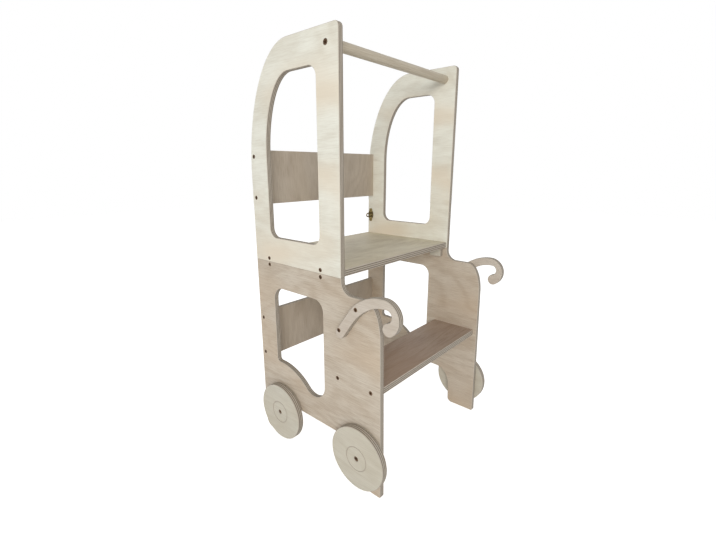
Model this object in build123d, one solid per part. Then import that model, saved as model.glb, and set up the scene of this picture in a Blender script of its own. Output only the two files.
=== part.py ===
from build123d import *
import math
import os

os.makedirs("parts", exist_ok=True)

# Plywood kitchen tower for a small child, cut in the outline of an old motor car.
# The upper frame tips backwards on two hinges and lands upside down behind the lower frame,
# which turns the tower into a low table with a bench.
# Frame: +X to the right of somebody facing the front, the front faces -Y, +Z is up, in mm.
# The outlines are drawn with Y = 0 at the front edge of the upper frame and Z = 0 on the floor,
# and every piece is then moved along Y so that the origin lies under the middle of the object.

# Driving dimensions
WIDTH = 424.0            # over the outer faces of the two sides
DEPTH = 276.0            # upper frame, front edge to rear edge
FOLD_Z = 450.0           # height of the plane where the two frames meet
UPPER_RISE = 449.5       # top of the upper sides above that plane
SIDE_PLY = 12.0          # sides and back planks
BOARD_PLY = 15.0         # the boards that carry a load
TRIM_PLY = 15.0          # wheels and curls
SEAM = 0.2               # each frame stops this far from the fold plane
EDGE_ROUND = 1.5         # sanded edge of the sides
FINE_ROUND = 1.0         # sanded edge of the smaller pieces

# Upper side
TOP_CORNER_R = 10.0
TOP_FLAT_END = 138.0     # the flat top runs back to here, then falls as a quarter ellipse
SHOULDER_DROP = 260.0
UPPER_WINDOW = (58.5, 217.5, 507.5, 840.0)   # front, rear, bottom, top
UPPER_WINDOW_DROP = 160.0
UPPER_WINDOW_R = 21.0

# Lower side
NOSE_Z = 418.0
NOSE_HOLLOW_R = 26.0
NOSE_FLAT_END = -64.0
NOSE_FRONT = -99.0
NOSE_DROP = 75.0
FOOT_TIP = -105.0
FOOT_TIP_R = 4.0
FOOT_HEEL = -29.0
FOOT_HEEL_R = 12.0
LEG_REAR = -26.0
ARCH_Z = 100.0
ARCH_FRONT_R = 44.5
ARCH_REAR_R = 36.0
REAR_LEG_FRONT = 180.0
REAR_FOOT_R = 20.0
LOWER_WINDOW = (53.5, 215.5, 391.0)          # front, rear, top
LOWER_WINDOW_FRONT_R = 26.0
LOWER_WINDOW_REAR_R = 30.0
LOWER_WINDOW_HEEL_R = 7.0
LOWER_WINDOW_TOE_R = 35.0
SILL_CENTRE = (203.0, 74.0)                  # the sill is a round above the rear wheel
SILL_R = 130.0

# Wheels
WHEEL_R = 69.0
WHEEL_Z = 80.0
WHEEL_FRONT_Y = -54.6
WHEEL_REAR_Y = 194.0
WHEEL_GAP = 3.0          # washer between the wheel and the side
WHEEL_ROOM = 0.05        # play along the bolt, each side of the wheel
WHEEL_BORE_R = 4.05
WHEEL_SHANK_R = 4.0
WHEEL_HEAD_R = 5.0
WHEEL_HEAD_H = 2.4
COUNTERBORE_R = 5.8
COUNTERBORE_D = 3.2
WHEEL_SCREW_R = 2.5
WHEEL_SCREW_DEPTH = 10.0
WASHER_R = 9.0
RING_R = 26.5            # ring engraved in the wheel's outer face
RING_W = 2.0
RING_D = 1.0

# Curls on the nose
CURL_Y = -114.7          # the shoulder of the arm and the turn are both centred above this
CURL_TOP = 435.8
CURL_SHOULDER_R = 100.8
CURL_SHOULDER_ANGLE = 36.0     # from here the arm runs straight down to its foot
CURL_ARM_L = 55.9
CURL_FOOT_R = 10.4
CURL_TURN_R = 35.4
CURL_TIP_R = 12.9
CURL_TIP_ANGLE = 236.0
CURL_EYE_R = 11.9
CURL_EYE_ANGLE = 78.4
CURL_INNER_POINTS = ((-97.5, 414.6), (-54.1, 386.4))
CURL_SCREWS = ((-51.0, 401.8), (-7.0, 349.3))

# Boards, planks, blocks and rail: front and rear in Y, then the height
PLATFORM_FRONT = 3.0
TABLE_FRONT = 46.0
SEAT_FRONT = -91.0
SEAT_REAR = 27.0
SEAT_TOP = 239.0
PLANK_H = 120.0
PLANK_REAR = 270.0
UPPER_PLANK_Z = 577.0
LOWER_PLANK_Z = 198.5
BLOCK_FRONT = 12.0
BLOCK_REAR = 44.0
BLOCK_H = 23.0
BLOCK_W = 12.0
RAIL_Y = 31.5
RAIL_Z = 870.5
RAIL_R = 9.8

# Wood screws
SCREW_HEAD_R = 4.5
SCREW_SHANK_R = 2.6
SCREW_HEAD_H = 3.0
SCREW_LENGTH = 48.0
SCREW_TIP = 4.0
SOCKET_R = 2.3
SOCKET_D = 2.0
HOLE_ROOM = 0.05
BOARD_SCREW_Y = (58.0, 227.5)
SEAT_SCREW_Y = (-77.0, 13.0)
UPPER_PLANK_SCREW_Z = (592.5, 682.5)
LOWER_PLANK_SCREW_Z = (212.0, 303.5)
RAIL_HEAD_R = 5.5
CURL_SCREW_LENGTH = 24.0
SMALL_HEAD_R = 3.0
SMALL_HEAD_H = 1.5
SMALL_SHANK_R = 1.3
SMALL_LENGTH = 10.0

# Fold hinges
HINGE_X = 120.0
HINGE_L = 60.0
HINGE_LEAF_W = 20.0
HINGE_LEAF_T = 1.5
HINGE_AXIS_Y = DEPTH + 0.3
KNUCKLE_R = 3.0
KNUCKLE_ROOM = 0.4
KNUCKLES = 5
KNUCKLE_SLIT = 0.3
HINGE_PIN_R = 1.5
HINGE_BORE_R = 1.55
HINGE_SCREW_X = (-21.0, 0.0, 21.0)

# Table latches: a keeper on each upper side, a sliding bolt on each lower side
LATCH_Y = 265.5
KEEPER_Z = 519.5
LATCH_PLATE_W = 9.0      # half of the plate's middle, along Y and along Z
LATCH_PLATE_H = 14.0
LATCH_PLATE_T = 2.0
LATCH_EAR_R = 5.0
LATCH_EAR_RISE = 14.5
LOOP_WIRE_R = 1.75
LOOP_R = 5.0
LOOP_REACH = 22.0        # from the ply to the crown of the loop
BOLT_R = 2.5
BOLT_BORE_R = 2.55
BOLT_STROKE = 16.0
BOLT_BALL_R = 5.0
BOLT_HEAD_R = 3.0
BOLT_HEAD_L = 1.5
BOLT_HEAD_ROUND = 0.6
BOLT_ROOM = 0.1          # between the bolt's head and the barrel
BARREL_R = 5.0
BARREL_L = 16.0
BARREL_WEB = 6.0

# Derived values
SIDE_OUT = WIDTH / 2
SIDE_IN = SIDE_OUT - SIDE_PLY
TOP_Z = FOLD_Z + UPPER_RISE
UPPER_BASE = FOLD_Z + SEAM
LOWER_TOP = FOLD_Z - SEAM
FRONT_REACH = CURL_Y - CURL_TURN_R
REAR_REACH = HINGE_AXIS_Y + KNUCKLE_R
ORIGIN_Y = (FRONT_REACH + REAR_REACH) / 2
BOLT_X = SIDE_IN - LOOP_REACH + LOOP_WIRE_R + LOOP_R
BOLT_Z = 2 * FOLD_Z - KEEPER_Z     # where the keeper's loop comes to rest once the frame is folded

SIDES = {"left": -1, "right": 1}
parts = {}


def side_plane(x):
    """Plane in which an outline's (y, z) points are drawn; it grows towards +X."""
    return Plane(origin=(x, 0, 0), x_dir=(0, 1, 0), z_dir=(1, 0, 0))


def slab(face, x_low, thickness):
    """Flat piece cut from ply that stands on edge, from x_low towards +X."""
    return extrude(side_plane(x_low) * face, amount=thickness)


def side_slab(face, side):
    """The same piece as one of the two sides of the frame."""
    x_low = -SIDE_OUT if side < 0 else SIDE_IN
    return slab(face, x_low, SIDE_PLY)


def block(x, y, z):
    """Box between two limits along each axis."""
    size = (x[1] - x[0], y[1] - y[0], z[1] - z[0])
    middle = ((x[0] + x[1]) / 2, (y[0] + y[1]) / 2, (z[0] + z[1]) / 2)
    return Pos(*middle) * Box(*size)


def quarter(centre, along, up, start):
    """Quarter of an ellipse that runs a quarter turn against the clock from start degrees."""
    return EllipticalCenterArc(centre, along, up, start_angle=start, arc_size=90)


def arc(centre, radius, start, end):
    """Round stretch between two angles in degrees, either way round."""
    return CenterArc(centre, radius, start, end - start)


def bearing(origin, target):
    """Angle in degrees from one point to another."""
    return math.degrees(math.atan2(target[1] - origin[1], target[0] - origin[0]))


def on_circle(centre, radius, angle):
    """Point of a circle at an angle in degrees."""
    turn = math.radians(angle)
    return (centre[0] + radius * math.cos(turn), centre[1] + radius * math.sin(turn))


def corners(face, points, radius):
    """Round the corners of a flat outline that lie at the given points."""
    chosen = [v for v in face.vertices() if any((Vector(*v) - Vector(*p)).length < 0.01 for p in points)]
    return fillet(chosen, radius)


def sanded(piece, radius, keep_sharp=()):
    """Round the long edges on the two broad faces, except those at the heights in keep_sharp."""
    box = piece.bounding_box()
    edges = []
    for edge in piece.edges():
        spread = edge.bounding_box().size.X
        height = edge.bounding_box()
        flat_at = [z for z in keep_sharp if abs(height.min.Z - z) < 0.01 and abs(height.max.Z - z) < 0.01]
        on_face = abs(edge.center().X - box.min.X) < 0.01 or abs(edge.center().X - box.max.X) < 0.01
        if on_face and spread < 0.01 and not flat_at:
            edges.append(edge)
    return fillet(edges, radius)


def screw(length, head_r=SCREW_HEAD_R, head_h=SCREW_HEAD_H, shank_r=SCREW_SHANK_R, socket=True, room=0.0):
    """Countersunk screw with its head at Z = 0 and its point down +Z; room makes it a hole cutter."""
    tip = shank_r / 2 if socket else shank_r / 3
    outline = Polyline(
        (0, 0, 0),
        (head_r + room, 0, 0),
        (shank_r + room, 0, head_h),
        (shank_r + room, 0, length - SCREW_TIP),
        (tip + room, 0, length + room),
        (0, 0, length + room),
        close=True,
    )
    body = revolve(make_face(outline), Axis.Z)
    if socket and not room:
        body -= extrude(RegularPolygon(SOCKET_R, 6), amount=SOCKET_D)
    return body


def aimed(solid, x, y, z, direction):
    """Put a solid that was drawn along +Z at a point, along a direction."""
    return Plane(origin=(x, y, z), z_dir=direction) * solid


def screw_places(y_list, z_list):
    """Screws driven square through both sides: (x, y, z, direction) for each."""
    places = []
    for side in SIDES.values():
        for y in y_list:
            for z in z_list:
                places.append((side * SIDE_OUT, y, z, (-side, 0, 0)))
    return places


def group(solids):
    """Several separate solids under one name."""
    return Compound([solid for item in solids for solid in item.solids()])


# Where the screws go
PLATFORM_SCREWS = screw_places(BOARD_SCREW_Y, [FOLD_Z + BOARD_PLY / 2])
TABLE_SCREWS = screw_places(BOARD_SCREW_Y, [FOLD_Z - BOARD_PLY / 2])
SEAT_SCREWS = screw_places(SEAT_SCREW_Y, [SEAT_TOP - BOARD_PLY / 2])
UPPER_PLANK_SCREWS = screw_places([PLANK_REAR - SIDE_PLY / 2], UPPER_PLANK_SCREW_Z)
LOWER_PLANK_SCREWS = screw_places([PLANK_REAR - SIDE_PLY / 2], LOWER_PLANK_SCREW_Z)
RAIL_SCREWS = screw_places([RAIL_Y], [RAIL_Z])


def drilled(piece, places, **kind):
    """Cut the screws' holes out of a piece, with a little room round each."""
    cutter = screw(kind.pop("length", SCREW_LENGTH), room=HOLE_ROOM, **kind)
    for x, y, z, direction in places:
        piece -= aimed(cutter, x, y, z, direction)
    return piece


def screws(places, **kind):
    """The screws themselves, as one group."""
    one = screw(kind.pop("length", SCREW_LENGTH), **kind)
    return group(aimed(one, *place) for place in places)


# Side outlines
def upper_side_outline():
    shoulder = (TOP_FLAT_END, TOP_Z - SHOULDER_DROP)
    outline = Polyline(
        (TOP_FLAT_END, TOP_Z),
        (0, TOP_Z),
        (0, UPPER_BASE),
        (DEPTH, UPPER_BASE),
        (DEPTH, shoulder[1]),
    )
    face = make_face(outline + quarter(shoulder, DEPTH - TOP_FLAT_END, SHOULDER_DROP, 0))
    return corners(face, [(0, TOP_Z)], TOP_CORNER_R)


def upper_window_outline():
    front, rear, bottom, top = UPPER_WINDOW
    shoulder = (TOP_FLAT_END, top - UPPER_WINDOW_DROP)
    outline = Polyline(
        (TOP_FLAT_END, top),
        (front, top),
        (front, bottom),
        (rear, bottom),
        (rear, shoulder[1]),
    )
    face = make_face(outline + quarter(shoulder, rear - TOP_FLAT_END, UPPER_WINDOW_DROP, 0))
    return corners(face, [(front, top), (front, bottom), (rear, bottom)], UPPER_WINDOW_R)


def lower_side_outline():
    nose_centre = (NOSE_FLAT_END, NOSE_Z - NOSE_DROP)
    hollow_centre = (-NOSE_HOLLOW_R, NOSE_Z + NOSE_HOLLOW_R)
    arch_centre = (LEG_REAR + ARCH_FRONT_R, ARCH_Z - ARCH_FRONT_R)
    outline = Line((0, LOWER_TOP), (0, hollow_centre[1]))
    outline += arc(hollow_centre, NOSE_HOLLOW_R, 0, -90)
    outline += Line((-NOSE_HOLLOW_R, NOSE_Z), (NOSE_FLAT_END, NOSE_Z))
    outline += quarter(nose_centre, NOSE_FLAT_END - NOSE_FRONT, NOSE_DROP, 90)
    outline += Polyline(
        (NOSE_FRONT, nose_centre[1]),
        (FOOT_TIP, 0),
        (FOOT_HEEL, 0),
        (LEG_REAR, arch_centre[1]),
    )
    outline += arc(arch_centre, ARCH_FRONT_R, 180, 90)
    outline += Polyline(
        (arch_centre[0], ARCH_Z),
        (REAR_LEG_FRONT, ARCH_Z),
        (REAR_LEG_FRONT, 0),
        (DEPTH, 0),
        (DEPTH, LOWER_TOP),
        (0, LOWER_TOP),
    )
    face = make_face(outline)
    face = corners(face, [(FOOT_TIP, 0)], FOOT_TIP_R)
    face = corners(face, [(FOOT_HEEL, 0)], FOOT_HEEL_R)
    face = corners(face, [(REAR_LEG_FRONT, ARCH_Z)], ARCH_REAR_R)
    return corners(face, [(REAR_LEG_FRONT, 0), (DEPTH, 0)], REAR_FOOT_R)


def lower_window_outline():
    """The sill arches over the rear wheel, then dips into a round toe at the front."""
    front, rear, top = LOWER_WINDOW
    toe_y = front + LOWER_WINDOW_TOE_R
    reach = SILL_R + LOWER_WINDOW_TOE_R
    toe_centre = (toe_y, SILL_CENTRE[1] + math.sqrt(reach ** 2 - (SILL_CENTRE[0] - toe_y) ** 2))
    sill_start = math.degrees(math.acos((rear - SILL_CENTRE[0]) / SILL_R))
    sill_end = bearing(SILL_CENTRE, toe_centre)
    heel = on_circle(SILL_CENTRE, SILL_R, sill_start)
    outline = arc(SILL_CENTRE, SILL_R, sill_start, sill_end)
    outline += arc(toe_centre, LOWER_WINDOW_TOE_R, sill_end - 180, -180)
    outline += Polyline((front, toe_centre[1]), (front, top), (rear, top), heel)
    face = make_face(outline)
    face = corners(face, [(front, top)], LOWER_WINDOW_FRONT_R)
    face = corners(face, [(rear, top)], LOWER_WINDOW_REAR_R)
    return corners(face, [heel], LOWER_WINDOW_HEEL_R)


def curl_outline():
    """Arm that rises over the nose, turns down in front of it and ends in a round tip."""
    shoulder = (CURL_Y, CURL_TOP - CURL_SHOULDER_R)
    turn_centre = (CURL_Y, CURL_TOP - CURL_TURN_R)
    downwards = CURL_SHOULDER_ANGLE - 90
    knee = on_circle(shoulder, CURL_SHOULDER_R, CURL_SHOULDER_ANGLE)
    arm_end = on_circle(knee, CURL_ARM_L, downwards)
    foot = on_circle(arm_end, CURL_FOOT_R, CURL_SHOULDER_ANGLE + 180)
    foot_in = on_circle(foot, CURL_FOOT_R, CURL_SHOULDER_ANGLE + 180)
    tip = on_circle(turn_centre, CURL_TURN_R - CURL_TIP_R, CURL_TIP_ANGLE)
    eye = on_circle(tip, CURL_TIP_R + CURL_EYE_R, CURL_EYE_ANGLE)
    eye_top = on_circle(eye, CURL_EYE_R, 90)
    outline = Line(arm_end, knee)
    outline += arc(shoulder, CURL_SHOULDER_R, CURL_SHOULDER_ANGLE, 90)
    outline += arc(turn_centre, CURL_TURN_R, 90, CURL_TIP_ANGLE)
    outline += arc(tip, CURL_TIP_R, CURL_TIP_ANGLE - 360, CURL_EYE_ANGLE)
    outline += arc(eye, CURL_EYE_R, 180 + CURL_EYE_ANGLE, 90)
    outline += Spline(eye_top, *CURL_INNER_POINTS, foot_in, tangents=((1, 0), on_circle((0, 0), 1, downwards)))
    outline += arc(foot, CURL_FOOT_R, CURL_SHOULDER_ANGLE + 180, CURL_SHOULDER_ANGLE + 360)
    return make_face(outline)


# Hinges
def hinge_leaf(upper):
    """Leaf let into its board, with its own knuckles round the pin, drawn at X = 0."""
    up = 1 if upper else -1
    half = HINGE_L / 2
    near = FOLD_Z + up * SEAM
    far = near + up * HINGE_LEAF_T
    z = (min(near, far), max(near, far))
    leaf = block((-half, half), (DEPTH - HINGE_LEAF_W, HINGE_AXIS_Y - KNUCKLE_R - KNUCKLE_ROOM), z)
    pitch = HINGE_L / KNUCKLES
    for index in range(KNUCKLES):
        if (index % 2 == 1) != upper:
            continue
        low = -half + index * pitch + KNUCKLE_SLIT / 2
        high = low + pitch - KNUCKLE_SLIT
        leaf += block((low, high), (HINGE_AXIS_Y - KNUCKLE_R - KNUCKLE_ROOM, HINGE_AXIS_Y), z)
        leaf += along_x(KNUCKLE_R, low, high, HINGE_AXIS_Y, FOLD_Z)
    leaf -= along_x(HINGE_BORE_R, -half, half, HINGE_AXIS_Y, FOLD_Z)
    for place in hinge_screw_places(upper, 0):
        leaf -= aimed(small_screw(HOLE_ROOM), *place)
    return leaf


def along_x(radius, x_low, x_high, y, z):
    """Round bar along X."""
    return Pos((x_low + x_high) / 2, y, z) * Rot(0, 90, 0) * Cylinder(radius, x_high - x_low)


def small_screw(room=0.0):
    return screw(SMALL_LENGTH, SMALL_HEAD_R, SMALL_HEAD_H, SMALL_SHANK_R, socket=False, room=room)


def hinge_screw_places(upper, hinge_x):
    """Screws of one leaf, from the face that meets the other leaf."""
    up = 1 if upper else -1
    y = DEPTH - HINGE_LEAF_W / 2 - 2
    z = FOLD_Z + up * SEAM
    return [(hinge_x + x, y, z, (0, 0, up)) for x in HINGE_SCREW_X]


def hinge_screws(upper):
    """All the screws of the two upper or the two lower leaves."""
    places = [place for side in SIDES.values() for place in hinge_screw_places(upper, side * HINGE_X)]
    return group(aimed(small_screw(), *place) for place in places)


def let_in(board, upper):
    """Cut the hinges' recesses, knuckle hollows and screw holes out of a board."""
    up = 1 if upper else -1
    near = FOLD_Z + up * SEAM
    far = near + up * (HINGE_LEAF_T + HOLE_ROOM)
    half = HINGE_L / 2 + KNUCKLE_SLIT
    for side in SIDES.values():
        x = side * HINGE_X
        z = (min(near, far), max(near, far))
        board -= block((x - half, x + half), (DEPTH - HINGE_LEAF_W - HOLE_ROOM, DEPTH), z)
        board -= along_x(KNUCKLE_R + KNUCKLE_ROOM, x - half, x + half, HINGE_AXIS_Y, FOLD_Z)
        for place in hinge_screw_places(upper, x):
            board -= aimed(small_screw(HOLE_ROOM), *place)
    return board


# Latches
def latch_plate(side, z):
    """Oval plate with an ear above and below, on the inner face of a side."""
    face_x = side * SIDE_IN
    outline = Pos(LATCH_Y, z) * Ellipse(LATCH_PLATE_W, LATCH_PLATE_H)
    for rise in (-LATCH_EAR_RISE, LATCH_EAR_RISE):
        outline += Pos(LATCH_Y, z + rise) * Circle(LATCH_EAR_R)
    plate = slab(outline, min(face_x, face_x - side * LATCH_PLATE_T), LATCH_PLATE_T)
    for place in latch_screw_places(side, z):
        plate -= aimed(small_screw(HOLE_ROOM), *place)
    return plate


def latch_screw_places(side, z):
    x = side * (SIDE_IN - LATCH_PLATE_T)
    return [(x, LATCH_Y, z + rise, (side, 0, 0)) for rise in (-LATCH_EAR_RISE, LATCH_EAR_RISE)]


def keeper(side):
    """Plate with a wire loop that stands out of it, open towards the rear."""
    root = side * (SIDE_IN - LATCH_PLATE_T / 2)
    bend = side * BOLT_X
    low = KEEPER_Z - LOOP_R
    high = KEEPER_Z + LOOP_R
    crown = (bend - side * LOOP_R, LATCH_Y, KEEPER_Z)
    path = Line((root, LATCH_Y, low), (bend, LATCH_Y, low))
    path += ThreePointArc((bend, LATCH_Y, low), crown, (bend, LATCH_Y, high))
    path += Line((bend, LATCH_Y, high), (root, LATCH_Y, high))
    start = Plane(origin=(root, LATCH_Y, low), z_dir=(-side, 0, 0))
    return latch_plate(side, KEEPER_Z) + sweep(start * Circle(LOOP_WIRE_R), path=Wire(path.edges()))


def along_y(radius, x, y_low, y_high, z):
    """Round bar along Y."""
    return Pos(x, (y_low + y_high) / 2, z) * Rot(90, 0, 0) * Cylinder(radius, y_high - y_low)


def latch_barrel(side):
    """Plate with a web that carries the bolt's barrel."""
    x = side * BOLT_X
    y_limits = (LATCH_Y - BARREL_L / 2, LATCH_Y + BARREL_L / 2)
    web_x = sorted((x, side * (SIDE_IN - LATCH_PLATE_T)))
    barrel = latch_plate(side, BOLT_Z)
    barrel += block(web_x, y_limits, (BOLT_Z - BARREL_WEB / 2, BOLT_Z + BARREL_WEB / 2))
    barrel += along_y(BARREL_R, x, *y_limits, BOLT_Z)
    return barrel - along_y(BOLT_BORE_R, x, *y_limits, BOLT_Z)


def latch_bolt(side):
    """Rod with a ball to pull it by and a small head that stops it in the barrel."""
    x = side * BOLT_X
    ball_y = LATCH_Y - BARREL_L / 2 - BOLT_STROKE - BOLT_BALL_R
    head_y = LATCH_Y + BARREL_L / 2 + BOLT_ROOM
    head = along_y(BOLT_HEAD_R, x, head_y, head_y + BOLT_HEAD_L, BOLT_Z)
    head = fillet(head.edges().filter_by(GeomType.CIRCLE).group_by(Axis.Y)[-1], BOLT_HEAD_ROUND)
    rod = along_y(BOLT_R, x, ball_y, head_y + BOLT_HEAD_L / 2, BOLT_Z)
    return rod + head + Pos(x, ball_y, BOLT_Z) * Sphere(BOLT_BALL_R)


# Wheels
def wheel(side, y):
    """Ply disc with an engraved ring, drawn in place."""
    inner = SIDE_OUT + WHEEL_GAP
    disc = Cylinder(WHEEL_R, TRIM_PLY)
    disc = fillet(disc.edges().filter_by(GeomType.CIRCLE), EDGE_ROUND)
    face_z = TRIM_PLY / 2
    ring = Cylinder(RING_R + RING_W / 2, 2 * RING_D) - Cylinder(RING_R - RING_W / 2, 2 * RING_D)
    disc -= Pos(0, 0, face_z) * ring
    disc -= Pos(0, 0, face_z) * Cylinder(COUNTERBORE_R, 2 * COUNTERBORE_D)
    disc -= Cylinder(WHEEL_BORE_R, 2 * TRIM_PLY)
    return aimed(disc, side * (inner + TRIM_PLY / 2), y, WHEEL_Z, (side, 0, 0))


def wheel_bolt(room=0.0):
    """Shoulder screw of a wheel, from the side's outer face (Z = 0) outwards."""
    seat = WHEEL_GAP + TRIM_PLY - COUNTERBORE_D + WHEEL_ROOM
    outline = Polyline(
        (0, 0, -WHEEL_SCREW_DEPTH - room),
        (WHEEL_SCREW_R + room, 0, -WHEEL_SCREW_DEPTH - room),
        (WHEEL_SCREW_R + room, 0, 0),
        (WHEEL_SHANK_R, 0, 0),
        (WHEEL_SHANK_R, 0, seat),
        (WHEEL_HEAD_R, 0, seat),
        (WHEEL_HEAD_R, 0, seat + WHEEL_HEAD_H),
        (0, 0, seat + WHEEL_HEAD_H),
        close=True,
    )
    body = revolve(make_face(outline), Axis.Z)
    if not room:
        socket = extrude(RegularPolygon(SOCKET_R, 6), amount=SOCKET_D)
        body -= Pos(0, 0, seat + WHEEL_HEAD_H - SOCKET_D) * socket
    return body


def wheel_places():
    hubs = (WHEEL_FRONT_Y, WHEEL_REAR_Y)
    return [(side * SIDE_OUT, y, WHEEL_Z, (side, 0, 0)) for side in SIDES.values() for y in hubs]


def washer():
    thickness = WHEEL_GAP - 2 * WHEEL_ROOM
    ring = Cylinder(WASHER_R, thickness) - Cylinder(WHEEL_BORE_R, 2 * thickness)
    return Pos(0, 0, WHEEL_GAP / 2) * ring


def curl_screw_places():
    x = SIDE_OUT + TRIM_PLY
    return [(side * x, y, z, (-side, 0, 0)) for side in SIDES.values() for y, z in CURL_SCREWS]


# Upper frame
upper_face = upper_side_outline() - upper_window_outline()
for name, side in SIDES.items():
    piece = sanded(side_slab(upper_face, side), EDGE_ROUND, keep_sharp=(UPPER_BASE,))
    piece = drilled(piece, PLATFORM_SCREWS + UPPER_PLANK_SCREWS)
    piece = drilled(piece, RAIL_SCREWS, head_r=RAIL_HEAD_R)
    for place in latch_screw_places(side, KEEPER_Z):
        piece -= aimed(small_screw(HOLE_ROOM), *place)
    parts[f"upper_side_{name}"] = piece
    parts[f"keeper_{name}"] = keeper(side)
    parts[f"hinge_leaf_upper_{name}"] = Pos(side * HINGE_X, 0, 0) * hinge_leaf(True)

platform = block((-SIDE_IN, SIDE_IN), (PLATFORM_FRONT, DEPTH), (UPPER_BASE, FOLD_Z + BOARD_PLY))
platform = fillet(platform.edges().filter_by(Axis.X).group_by(Axis.Y)[0], EDGE_ROUND)
parts["platform_board"] = drilled(let_in(platform, True), PLATFORM_SCREWS)

plank_y = (PLANK_REAR - SIDE_PLY, PLANK_REAR)
upper_plank = block((-SIDE_IN, SIDE_IN), plank_y, (UPPER_PLANK_Z, UPPER_PLANK_Z + PLANK_H))
upper_plank = fillet(upper_plank.edges().filter_by(Axis.X), FINE_ROUND)
parts["upper_back_plank"] = drilled(upper_plank, UPPER_PLANK_SCREWS)

rail = along_x(RAIL_R, -SIDE_IN, SIDE_IN, RAIL_Y, RAIL_Z)
parts["hand_rail"] = drilled(rail, RAIL_SCREWS, head_r=RAIL_HEAD_R)

parts["platform_screws"] = screws(PLATFORM_SCREWS)
parts["upper_plank_screws"] = screws(UPPER_PLANK_SCREWS)
parts["rail_screws"] = screws(RAIL_SCREWS, head_r=RAIL_HEAD_R)
parts["keeper_screws"] = group(
    aimed(small_screw(), *place) for side in SIDES.values() for place in latch_screw_places(side, KEEPER_Z)
)
parts["hinge_screws_upper"] = hinge_screws(True)

# Lower frame
lower_face = lower_side_outline() - lower_window_outline()
curl_face = curl_outline()
for name, side in SIDES.items():
    piece = sanded(side_slab(lower_face, side), EDGE_ROUND, keep_sharp=(LOWER_TOP, 0.0))
    piece = drilled(piece, TABLE_SCREWS + SEAT_SCREWS + LOWER_PLANK_SCREWS)
    piece = drilled(piece, curl_screw_places(), length=CURL_SCREW_LENGTH)
    for place in wheel_places():
        piece -= aimed(wheel_bolt(HOLE_ROOM), *place)
    for place in latch_screw_places(side, BOLT_Z):
        piece -= aimed(small_screw(HOLE_ROOM), *place)
    parts[f"lower_side_{name}"] = piece
    curl_x = -SIDE_OUT - TRIM_PLY if side < 0 else SIDE_OUT
    curl = sanded(slab(curl_face, curl_x, TRIM_PLY), EDGE_ROUND)
    parts[f"curl_{name}"] = drilled(curl, curl_screw_places(), length=CURL_SCREW_LENGTH)
    block_x = sorted((side * SIDE_IN, side * (SIDE_IN - BLOCK_W)))
    rest = block(block_x, (BLOCK_FRONT, BLOCK_REAR), (LOWER_TOP - BLOCK_H, LOWER_TOP))
    parts[f"rest_block_{name}"] = fillet(rest.edges().filter_by(Axis.Z).group_by(Axis.Y)[0], FINE_ROUND)
    parts[f"hinge_leaf_lower_{name}"] = Pos(side * HINGE_X, 0, 0) * hinge_leaf(False)
    pin = along_x(HINGE_PIN_R, -HINGE_L / 2, HINGE_L / 2, HINGE_AXIS_Y, FOLD_Z)
    parts[f"hinge_pin_{name}"] = Pos(side * HINGE_X, 0, 0) * pin
    parts[f"latch_barrel_{name}"] = latch_barrel(side)
    parts[f"latch_bolt_{name}"] = latch_bolt(side)
    parts[f"wheel_front_{name}"] = wheel(side, WHEEL_FRONT_Y)
    parts[f"wheel_rear_{name}"] = wheel(side, WHEEL_REAR_Y)

table = block((-SIDE_IN, SIDE_IN), (TABLE_FRONT, DEPTH), (FOLD_Z - BOARD_PLY, LOWER_TOP))
table = fillet(table.edges().filter_by(Axis.X).group_by(Axis.Y)[0], EDGE_ROUND)
parts["table_board"] = drilled(let_in(table, False), TABLE_SCREWS)

seat = block((-SIDE_IN, SIDE_IN), (SEAT_FRONT, SEAT_REAR), (SEAT_TOP - BOARD_PLY, SEAT_TOP))
seat = fillet(seat.edges().filter_by(Axis.X), EDGE_ROUND)
parts["seat_board"] = drilled(seat, SEAT_SCREWS)

lower_plank = block((-SIDE_IN, SIDE_IN), plank_y, (LOWER_PLANK_Z, LOWER_PLANK_Z + PLANK_H))
lower_plank = fillet(lower_plank.edges().filter_by(Axis.X), FINE_ROUND)
parts["lower_back_plank"] = drilled(lower_plank, LOWER_PLANK_SCREWS)

parts["table_board_screws"] = screws(TABLE_SCREWS)
parts["seat_screws"] = screws(SEAT_SCREWS)
parts["lower_plank_screws"] = screws(LOWER_PLANK_SCREWS)
parts["curl_screws"] = screws(curl_screw_places(), length=CURL_SCREW_LENGTH)
parts["hinge_screws_lower"] = hinge_screws(False)
parts["barrel_screws"] = group(
    aimed(small_screw(), *place) for side in SIDES.values() for place in latch_screw_places(side, BOLT_Z)
)
parts["wheel_bolts"] = group(aimed(wheel_bolt(), *place) for place in wheel_places())
parts["wheel_washers"] = group(aimed(washer(), *place) for place in wheel_places())

for name, piece in parts.items():
    export_step(Pos(0, -ORIGIN_Y, 0) * piece, f"parts/{name}.step")
print(len(parts), "pieces, origin at y", ORIGIN_Y)
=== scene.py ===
import math

import bpy
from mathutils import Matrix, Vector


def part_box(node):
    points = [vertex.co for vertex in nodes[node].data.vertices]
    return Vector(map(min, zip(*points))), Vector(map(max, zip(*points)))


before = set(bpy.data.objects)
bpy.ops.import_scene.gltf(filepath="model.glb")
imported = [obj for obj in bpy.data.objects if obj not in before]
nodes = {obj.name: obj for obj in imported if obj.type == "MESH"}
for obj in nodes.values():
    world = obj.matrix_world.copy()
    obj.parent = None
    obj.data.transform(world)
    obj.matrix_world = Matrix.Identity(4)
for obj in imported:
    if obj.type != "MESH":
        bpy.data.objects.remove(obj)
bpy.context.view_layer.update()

# Sizes of the tower that the finishes need, in metres, as in the part's source
SIDE_INNER = 0.200          # the sides stand between this and SIDE_OUTER from the middle
SIDE_OUTER = 0.212
SIDE_THICKNESS = 0.012
BOARD_THICKNESS = 0.015
TRIM_THICKNESS = 0.015      # curls and wheels
WHEEL_GAP = 0.003           # between a side and its wheels
FOLD_HEIGHT = 0.450
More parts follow.
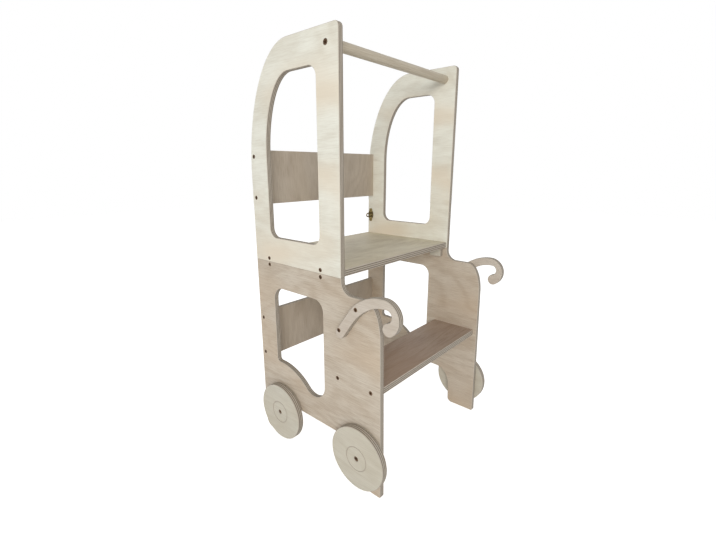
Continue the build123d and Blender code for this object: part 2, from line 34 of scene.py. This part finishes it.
SEAM = 0.0002               # each frame stops this far from the fold plane

# Build of the plywood, in metres where nothing else is said
LAYERS = 7.0
GLUE_WAVER = 0.0006                 # how far a glue line strays
WAVER_SCALE = 18.0                  # bends of a glue line in a metre
WAVER_FADE = (0.0004, 0.0016)       # the straying starts and is full this far below a face
FACE_VENEER = (0.00002, 0.00025)    # the face's look starts to end and has ended this far below it
FACE_MARGIN = 0.00001               # keeps a point on a face inside the outer layer
GLUE_LINE = (0.40, 0.49)            # where the glue starts and is full, in layers from a layer's middle

# Wood noises: scale along the grain, across it and through the board, per metre
STREAK_SCALE = (30.0, 900.0, 900.0)
FLECK_SCALE = (90.0, 1500.0, 1500.0)
FIGURE_SCALE = (2.6, 9.0, 9.0)
FIGURE_RINGS = 9.0
CLOUD_SCALE = (9.0, 24.0, 24.0)
BLUSH_SCALE = (2.2, 6.0, 6.0)
EDGE_FIBRE_SCALE = (700.0, 700.0, 2600.0)
LAYER_SHIFT = 0.37                  # moves the noise on from one crossed layer to the next
LAYER_TONE_STEP = 3.7

# Values of a noise between which its effect comes in
STREAK_RANGE = (0.35, 0.75)
FLECK_RANGE = (0.62, 0.74)
FIGURE_RANGE = (0.12, 0.5)
CLOUD_RANGE = (0.35, 0.7)
BLUSH_RANGE = (0.42, 0.68)

# How much each effect darkens a face, and then a cut edge
FLECK_SHARE = 0.45
FIGURE_SHARE = 0.5
CLOUD_SHARE = 0.6
CROSSED_SHARE = 0.72
TONE_SHARE = 0.18
EDGE_FIBRE_SHARE = 0.5
GLUE_SHARE = 0.40

# Roughness and relief of the plywood
FACE_ROUGH = 0.44
STREAK_ROUGH = 0.12
EDGE_ROUGH = 0.18
GLUE_DEPTH = 0.6
STREAK_DEPTH = 0.5
FLECK_DEPTH = 0.4
PLY_SPECULAR = 0.35

# Turned rail, its scales per metre along X, Y and Z, and the washers
RAIL_FIBRE_SCALE = (14.0, 700.0, 700.0)
RAIL_FLECK_SCALE = (120.0, 1600.0, 1600.0)
RAIL_BAND_SCALE = (3.0, 90.0, 90.0)
RAIL_FLECK_SHARE = 0.35
RAIL_BAND_SHARE = 0.3
RAIL_ROUGH = 0.40
NYLON_ROUGH = 0.35

# Floor, lamps and backdrop
FLOOR_SIZE = 12.0
FLOOR_ROUGH = 0.9
FLOOR_GLOW = 0.72           # makes the floor white to the camera, and leaves the soft shadow
SOFT_LIGHT = 0.42           # strength of the light from all round
BACKDROP_LIGHT = 1.0        # what the camera, and gloss, see instead
WHITE = (1.0, 1.0, 1.0, 1.0)
LAMP_TARGET = (0.0, 0.0, 0.45)
LAMPS = (                   # name, place, diameter in metres and power in watts
    ("key lamp", (-2.3, -2.0, 1.5), 1.6, 48.0),
    ("back lamp", (0.8, 1.8, 2.6), 1.8, 11.0),
)

# Camera, at the place and angle from which the photograph was taken
CAMERA_PLACE = (-0.7525, -0.58490, 0.6587)
CAMERA_TURN = -48.63
CAMERA_TILT = -14.32
CAMERA_LENS = 20.14
CAMERA_SENSOR = 36.0
CAMERA_CLIP = (0.01, 50.0)


def srgb(red, green, blue):
    """Linear colour from 0-255 display values."""
    def linear(value):
        value /= 255.0
        return value / 12.92 if value <= 0.04045 else ((value + 0.055) / 1.055) ** 2.4
    return (linear(red), linear(green), linear(blue), 1.0)


class Recipe:
    """Short calls that put nodes in a tree and wire them."""

    def __init__(self, tree):
        self.tree = tree

    def add(self, kind, **settings):
        node = self.tree.nodes.new(kind)
        for key, value in settings.items():
            setattr(node, key, value)
        return node

    def feed(self, socket, value):
        if isinstance(value, bpy.types.NodeSocket):
            self.tree.links.new(value, socket)
        else:
            socket.default_value = value

    def math(self, operation, *values, clamp=False):
        node = self.add("ShaderNodeMath", operation=operation, use_clamp=clamp)
        for socket, value in zip(node.inputs, values):
            self.feed(socket, value)
        return node.outputs[0]

    def plus(self, first, second):
        return self.math("ADD", first, second)

    def minus(self, first, second):
        return self.math("SUBTRACT", first, second)

    def times(self, first, second):
        return self.math("MULTIPLY", first, second)

    def plus_share(self, base, value, share, clamp=False):
        """The base and this share of the value."""
        return self.math("MULTIPLY_ADD", value, share, base, clamp=clamp)

    def blend(self, data_type, first_input, output, factor, first, second):
        """A mix node. Its inputs and outputs lie in one row for all data types."""
        node = self.add("ShaderNodeMix", data_type=data_type)
        self.feed(node.inputs[0], factor)
        self.feed(node.inputs[first_input], first)
        self.feed(node.inputs[first_input + 1], second)
        return node.outputs[output]

    def mix(self, factor, first, second):
        return self.blend("RGBA", 6, 2, factor, first, second)

    def mix_vector(self, factor, first, second):
        return self.blend("VECTOR", 4, 1, factor, first, second)

    def vector(self, x, y, z):
        node = self.add("ShaderNodeCombineXYZ")
        for socket, value in zip(node.inputs, (x, y, z)):
            self.feed(socket, value)
        return node.outputs[0]

    def parts_of(self, vector):
        node = self.add("ShaderNodeSeparateXYZ")
        self.feed(node.inputs[0], vector)
        return node.outputs

    def object_place(self):
        return self.add("ShaderNodeTexCoord").outputs["Object"]

    def noise(self, vector, scale, detail=2.0, rough=0.5, warp=0.0):
        node = self.add("ShaderNodeTexNoise")
        self.feed(node.inputs["Vector"], vector)
        node.inputs["Scale"].default_value = scale
        node.inputs["Detail"].default_value = detail
        node.inputs["Roughness"].default_value = rough
        node.inputs["Distortion"].default_value = warp
        return node.outputs["Fac"]

    def stretched_noise(self, vector, scales, detail=2.0, rough=0.5, warp=0.0):
        """Noise with its own scale along each axis."""
        node = self.add("ShaderNodeVectorMath", operation="MULTIPLY")
        self.feed(node.inputs[0], vector)
        node.inputs[1].default_value = scales
        return self.noise(node.outputs[0], 1.0, detail, rough, warp)

    def window(self, value, low, high, out_low=0.0, out_high=1.0):
        """Smooth step from low to high."""
        node = self.add("ShaderNodeMapRange", interpolation_type="SMOOTHSTEP")
        self.feed(node.inputs["Value"], value)
        node.inputs["From Min"].default_value = low
        node.inputs["From Max"].default_value = high
        node.inputs["To Min"].default_value = out_low
        node.inputs["To Max"].default_value = out_high
        return node.outputs["Result"]

    def surface(self, colour, roughness, **others):
        """Principled shader, with any other of its inputs by name."""
        shader = self.add("ShaderNodeBsdfPrincipled")
        self.feed(shader.inputs["Base Color"], colour)
        self.feed(shader.inputs["Roughness"], roughness)
        for label, value in others.items():
            self.feed(shader.inputs[label], value)
        return shader.outputs["BSDF"]

    def bump(self, height, strength, distance):
        node = self.add("ShaderNodeBump")
        node.inputs["Strength"].default_value = strength
        node.inputs["Distance"].default_value = distance
        self.feed(node.inputs["Height"], height)
        return node.outputs["Normal"]

    def glow(self, strength):
        node = self.add("ShaderNodeEmission")
        node.inputs["Color"].default_value = WHITE
        self.feed(node.inputs["Strength"], strength)
        return node.outputs[0]

    def seen(self):
        """1 for the rays by which the camera sees the backdrop, direct or by gloss or glass."""
        rays = self.add("ShaderNodeLightPath").outputs
        indirect = self.math("MAXIMUM", rays["Is Glossy Ray"], rays["Is Transmission Ray"])
        return self.math("MAXIMUM", rays["Is Camera Ray"], indirect)


def new_material(name):
    """An empty material and the recipe for its tree."""
    material = bpy.data.materials.new(name)
    material.use_nodes = True
    material.node_tree.nodes.clear()
    return material, Recipe(material.node_tree)


def close_material(make, shader):
    make.feed(make.add("ShaderNodeOutputMaterial").inputs["Surface"], shader)


def plywood_group():
    """Solid birch plywood. Board is (along the grain, across it, depth into the board) in metres.
    The layers lie square to the depth, and every second one has its grain the other way."""
    tree = bpy.data.node_groups.new("Birch plywood", "ShaderNodeTree")
    rows = (
        ("INPUT", "NodeSocketVector", ("Board",)),
        ("INPUT", "NodeSocketFloat", ("Thickness", "Figure", "Streaks", "Mottle")),
        ("INPUT", "NodeSocketColor", ("Face", "Face dark", "Edge light", "Edge dark", "Blush")),
        ("OUTPUT", "NodeSocketColor", ("Colour",)),
        ("OUTPUT", "NodeSocketFloat", ("Roughness", "Relief")),
    )
    for direction, kind, labels in rows:
        for label in labels:
            tree.interface.new_socket(label, in_out=direction, socket_type=kind)

    make = Recipe(tree)
    given = make.add("NodeGroupInput").outputs
    result = make.add("NodeGroupOutput").inputs
    along, across, depth = make.parts_of(given["Board"])

    # Which layer this point is in, with glue lines that waver a little away from the two faces
    surface = make.math("MINIMUM", depth, make.minus(given["Thickness"], depth))
    waver = make.noise(given["Board"], WAVER_SCALE, detail=3.0)
    waver = make.times(make.minus(waver, 0.5), GLUE_WAVER)
    waver = make.times(waver, make.window(surface, *WAVER_FADE))
    inside = make.math("MINIMUM", depth, make.minus(given["Thickness"], FACE_MARGIN))
    inside = make.math("MAXIMUM", inside, FACE_MARGIN)
    place = make.math("DIVIDE", make.plus(inside, waver), given["Thickness"])
    place = make.times(place, LAYERS)
    layer = make.math("FLOOR", place)
    crossed = make.math("MODULO", make.math("ABSOLUTE", layer), 2.0)
    off_middle = make.math("ABSOLUTE", make.minus(make.math("FRACT", place), 0.5))
    glue = make.window(off_middle, *GLUE_LINE)
    veneer = make.window(surface, *FACE_VENEER, out_low=1.0, out_high=0.0)

    straight = make.vector(along, across, depth)
    turned = make.vector(across, along, make.plus(depth, make.times(layer, LAYER_SHIFT)))
    grain = make.mix_vector(crossed, straight, turned)

    # Fine vessel streaks, short flecks, slow figure, cloudy patches and a warm blush
    streak = make.stretched_noise(grain, STREAK_SCALE, detail=3.0, rough=0.6)
    fleck = make.window(make.stretched_noise(grain, FLECK_SCALE, detail=1.0), *FLECK_RANGE)
    bend = make.stretched_noise(grain, FIGURE_SCALE, warp=0.6)
    rings = make.math("FRACT", make.times(bend, FIGURE_RINGS))
    figure = make.window(make.math("ABSOLUTE", make.minus(rings, 0.5)), *FIGURE_RANGE)
    cloud = make.window(make.stretched_noise(grain, CLOUD_SCALE, detail=4.0, rough=0.6), *CLOUD_RANGE)
    blush = make.window(make.stretched_noise(grain, BLUSH_SCALE), *BLUSH_RANGE)

    dark = make.times(make.window(streak, *STREAK_RANGE), given["Streaks"])
    dark = make.plus_share(dark, make.times(fleck, given["Streaks"]), FLECK_SHARE)
    dark = make.plus_share(dark, make.times(figure, given["Figure"]), FIGURE_SHARE)
    dark = make.plus_share(dark, make.times(cloud, given["Mottle"]), CLOUD_SHARE)
    face_colour = make.mix(make.math("MINIMUM", dark, 1.0), given["Face"], given["Face dark"])
    face_colour = make.mix(make.times(blush, given["Mottle"]), face_colour, given["Blush"])

    # Cut edges: long grain shows light, end grain dark, glue darkest
    tone = make.noise(make.vector(0.0, 0.0, make.times(layer, LAYER_TONE_STEP)), 1.0, detail=0.0)
    fibre = make.stretched_noise(given["Board"], EDGE_FIBRE_SCALE, detail=3.0, rough=0.7)
    edge_dark = make.plus_share(make.times(tone, TONE_SHARE), crossed, CROSSED_SHARE)
    edge_dark = make.plus_share(edge_dark, make.minus(fibre, 0.5), EDGE_FIBRE_SHARE)
    edge_dark = make.plus_share(edge_dark, glue, GLUE_SHARE, clamp=True)
    edge_colour = make.mix(edge_dark, given["Edge light"], given["Edge dark"])

    make.feed(result["Colour"], make.mix(veneer, edge_colour, face_colour))
    rough = make.plus_share(FACE_ROUGH, streak, STREAK_ROUGH)
    make.feed(result["Roughness"], make.plus_share(rough, make.minus(1.0, veneer), EDGE_ROUGH))
    relief = make.plus_share(make.times(streak, -STREAK_DEPTH), glue, -GLUE_DEPTH)
    make.feed(result["Relief"], make.minus(relief, make.times(fleck, FLECK_DEPTH)))
    return tree


PLYWOOD = plywood_group()
EDGE_LIGHT = srgb(199, 189, 174)
EDGE_DARK = srgb(104, 92, 78)


def plywood(name, axes, low, thickness, face, face_dark, blush, figure, streaks, mottle,
            mirrored=False, offset=(0.0, 0.0)):
    """A plywood finish, with display values for its colours. axes names the object axes that run
    along the grain, across it and through the board, and low is where the board starts along the
    last one. A mirrored finish serves a left and a right piece. offset shifts the wood's drawing."""
    material, make = new_material(name)
    values = dict(zip("xyz", make.parts_of(make.object_place())))
    along, across, through = (values[axis] for axis in axes)
    if mirrored:
        through = make.math("ABSOLUTE", through)
    board = make.vector(
        make.plus(along, offset[0]),
        make.plus(across, offset[1]),
        make.minus(through, low),
    )
    ply = make.add("ShaderNodeGroup", node_tree=PLYWOOD)
    inputs = {
        "Board": board, "Thickness": thickness, "Figure": figure, "Streaks": streaks, "Mottle": mottle,
        "Face": srgb(*face), "Face dark": srgb(*face_dark), "Blush": srgb(*blush),
        "Edge light": EDGE_LIGHT, "Edge dark": EDGE_DARK,
    }
    for label, value in inputs.items():
        make.feed(ply.inputs[label], value)
    shader = make.surface(ply.outputs["Colour"], ply.outputs["Roughness"], **{
        "Specular IOR Level": PLY_SPECULAR,
        "Normal": make.bump(ply.outputs["Relief"], strength=0.35, distance=0.0003),
    })
    close_material(make, shader)
    return material


def metal(name, bright, dull, least_rough, patch_scale):
    """Plated or cast metal with darker, rougher patches and fine wear."""
    material, make = new_material(name)
    place = make.object_place()
    patches = make.noise(place, patch_scale, detail=4.0, rough=0.6)
    wear = make.noise(place, scale=2200.0, detail=3.0)
    colour = make.mix(make.window(patches, low=0.38, high=0.66), srgb(*bright), srgb(*dull))
    shader = make.surface(colour, make.plus_share(least_rough, patches, share=0.25), **{
        "Metallic": 1.0,
        "Normal": make.bump(wear, strength=0.2, distance=0.0001),
    })
    close_material(make, shader)
    return material


def nylon():
    """Off-white plastic with a faint mottle."""
    material, make = new_material("Nylon washer")
    place = make.object_place()
    mottle = make.noise(place, scale=160.0, detail=3.0)
    colour = make.mix(mottle, srgb(226, 222, 210), srgb(206, 200, 186))
    rough = make.plus_share(NYLON_ROUGH, make.noise(place, scale=900.0), share=0.2)
    close_material(make, make.surface(colour, rough))
    return material


def rail_finish():
    """Turned beech rod: long fibres along X, short dark flecks."""
    material, make = new_material("Turned beech")
    place = make.object_place()
    fibres = make.stretched_noise(place, RAIL_FIBRE_SCALE, detail=3.0, rough=0.6)
    flecks = make.stretched_noise(place, RAIL_FLECK_SCALE, detail=1.0)
    flecks = make.window(flecks, low=0.64, high=0.74)
    bands = make.window(make.stretched_noise(place, RAIL_BAND_SCALE), low=0.4, high=0.7)
    pale_to_dark = make.window(fibres, low=0.3, high=0.7)
    colour = make.mix(pale_to_dark, srgb(201, 191, 171), srgb(180, 167, 146))
    colour = make.mix(make.times(flecks, RAIL_FLECK_SHARE), colour, srgb(150, 130, 106))
    colour = make.mix(make.times(bands, RAIL_BAND_SHARE), colour, srgb(170, 156, 134))
    rough = make.plus_share(RAIL_ROUGH, fibres, share=0.15)
    shader = make.surface(colour, rough, Normal=make.bump(fibres, strength=0.25, distance=0.0002))
    close_material(make, shader)
    return material


# Finishes
upper_panel = plywood(
    "Birch ply, pale upper sides", "yzx", SIDE_INNER, SIDE_THICKNESS, mirrored=True,
    face=(249, 248, 235), face_dark=(223, 217, 200), blush=(239, 225, 202),
    figure=0.35, streaks=0.45, mottle=0.9)
lower_panel = plywood(
    "Birch ply, pink-beige lower sides", "yzx", SIDE_INNER, SIDE_THICKNESS, mirrored=True,
    face=(218, 207, 190), face_dark=(188, 171, 150), blush=(210, 187, 159),
    figure=0.6, streaks=0.8, mottle=0.5, offset=(0.31, 0.17))
curl_ply = plywood(
    "Birch ply, curls", "yzx", SIDE_OUTER, TRIM_THICKNESS, mirrored=True,
    face=(216, 206, 192), face_dark=(191, 177, 160), blush=(209, 189, 168),
    figure=0.35, streaks=0.6, mottle=0.4, offset=(0.8, 0.4))
wheel_ply = plywood(
    "Birch ply, wheels", "yzx", SIDE_OUTER + WHEEL_GAP, TRIM_THICKNESS, mirrored=True,
    face=(217, 212, 197), face_dark=(192, 184, 165), blush=(205, 193, 170),
    figure=0.45, streaks=0.55, mottle=0.4, offset=(1.1, 0.7))
platform_ply = plywood(
    "Birch ply, platform", "xyz", FOLD_HEIGHT + SEAM, BOARD_THICKNESS - SEAM,
    face=(213, 205, 183), face_dark=(182, 171, 147), blush=(200, 186, 157),
    figure=0.6, streaks=0.6, mottle=0.6, offset=(0.5, 0.2))
table_ply = plywood(
    "Birch ply, table board", "xyz", FOLD_HEIGHT - BOARD_THICKNESS, BOARD_THICKNESS - SEAM,
    face=(213, 205, 183), face_dark=(182, 171, 147), blush=(200, 186, 157),
    figure=0.6, streaks=0.6, mottle=0.6, offset=(1.5, 1.2))
seat_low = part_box("seat_board")[0].z
seat_ply = plywood(
    "Birch ply, bench", "xyz", seat_low, BOARD_THICKNESS,
    face=(180, 161, 145), face_dark=(151, 129, 113), blush=(170, 142, 120),
    figure=0.6, streaks=0.7, mottle=0.5, offset=(2.5, 2.2))
plank_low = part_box("upper_back_plank")[0].y
plank_ply = plywood(
    "Birch ply, back planks", "zxy", plank_low, SIDE_THICKNESS,
    face=(196, 184, 168), face_dark=(165, 150, 132), blush=(182, 166, 144),
    figure=0.5, streaks=0.7, mottle=0.5, offset=(3.5, 3.2))
block_ply = plywood(
    "Birch ply, rest blocks", "zyx", SIDE_INNER - SIDE_THICKNESS, SIDE_THICKNESS, mirrored=True,
    face=(218, 214, 201), face_dark=(192, 184, 165), blush=(202, 192, 172),
    figure=0.3, streaks=0.6, mottle=0.3, offset=(4.5, 4.2))
rail_wood = rail_finish()
brass = metal("Aged brass", bright=(136, 119, 78), dull=(62, 54, 36), least_rough=0.26, patch_scale=220.0)
bronze = metal("Bronze-plated steel", bright=(120, 96, 74), dull=(58, 46, 38), least_rough=0.30,
               patch_scale=500.0)
nylon_white = nylon()

# A piece takes the finish of the longest key that its name starts with
FINISHES = {
    "upper_side": upper_panel,
    "lower_side": lower_panel,
    "curl": curl_ply,
    "wheel": wheel_ply,
    "platform_board": platform_ply,
    "table_board": table_ply,
    "seat_board": seat_ply,
    "upper_back_plank": plank_ply,
    "lower_back_plank": plank_ply,
    "rest_block": block_ply,
    "hand_rail": rail_wood,
    "keeper": brass,
    "barrel": brass,
    "latch": brass,
    "hinge": brass,
    "platform_screws": bronze,
    "upper_plank_screws": bronze,
    "rail_screws": bronze,
    "table_board_screws": bronze,
    "seat_screws": bronze,
    "lower_plank_screws": bronze,
    "curl_screws": bronze,
    "wheel_bolts": bronze,
    "wheel_washers": nylon_white,
}
for name, piece in nodes.items():
    matches = [key for key in FINISHES if name.startswith(key)]
    finish = FINISHES[max(matches, key=len)]
    for slot in piece.material_slots:
        slot.material = finish
    if not piece.material_slots:
        piece.data.materials.append(finish)


def backdrop_material():
    """Pale floor that keeps the object's soft shadow, and shows white to the camera far from it."""
    material, make = new_material("Studio floor")
    matt = make.surface(srgb(246, 246, 246), FLOOR_ROUGH, **{"Specular IOR Level": 0.0})
    both = make.add("ShaderNodeAddShader")
    make.feed(both.inputs[0], matt)
    make.feed(both.inputs[1], make.glow(make.times(make.seen(), FLOOR_GLOW)))
    close_material(make, both.outputs[0])
    return material


def link(name, data):
    piece = bpy.data.objects.new(name, data)
    bpy.context.scene.collection.objects.link(piece)
    return piece


def floor():
    mesh = bpy.data.meshes.new("floor")
    half = FLOOR_SIZE / 2
    corners = [(-half, -half, 0), (half, -half, 0), (half, half, 0), (-half, half, 0)]
    mesh.from_pydata(corners, [], [(0, 1, 2, 3)])
    mesh.materials.append(backdrop_material())
    piece = link("floor", mesh)


def lamp(name, place, size, power):
    data = bpy.data.lights.new(name, "AREA")
    data.shape = "DISK"
    data.size = size
    data.energy = power
    piece = link(name, data)
    piece.location = place
    way = Vector(LAMP_TARGET) - Vector(place)
    piece.rotation_euler = way.to_track_quat("-Z", "Y").to_euler()


def studio_world():
    """Soft light from all round, and plain white wherever the camera sees past the object."""
    world = bpy.data.worlds.new("Studio")
    bpy.context.scene.world = world
    world.use_nodes = True
    world.node_tree.nodes.clear()
    make = Recipe(world.node_tree)
    blend = make.add("ShaderNodeMixShader")
    make.feed(blend.inputs[0], make.seen())
    for socket, strength in zip(blend.inputs[1:], (SOFT_LIGHT, BACKDROP_LIGHT)):
        light = make.add("ShaderNodeBackground")
        light.inputs["Color"].default_value = WHITE
        light.inputs["Strength"].default_value = strength
        make.feed(socket, light.outputs[0])
    make.feed(make.add("ShaderNodeOutputWorld").inputs["Surface"], blend.outputs[0])


def photo_camera():
    data = bpy.data.cameras.new("camera")
    data.sensor_width = CAMERA_SENSOR
    data.lens = CAMERA_LENS
    data.clip_start, data.clip_end = CAMERA_CLIP
    camera = link("camera", data)
    camera.location = CAMERA_PLACE
    camera.rotation_euler = (math.radians(90.0 + CAMERA_TILT), 0.0, math.radians(CAMERA_TURN))
    return camera


floor()
for row in LAMPS:
    lamp(*row)
studio_world()
bpy.context.scene.camera = photo_camera()
bpy.context.scene.view_settings.view_transform = "Standard"
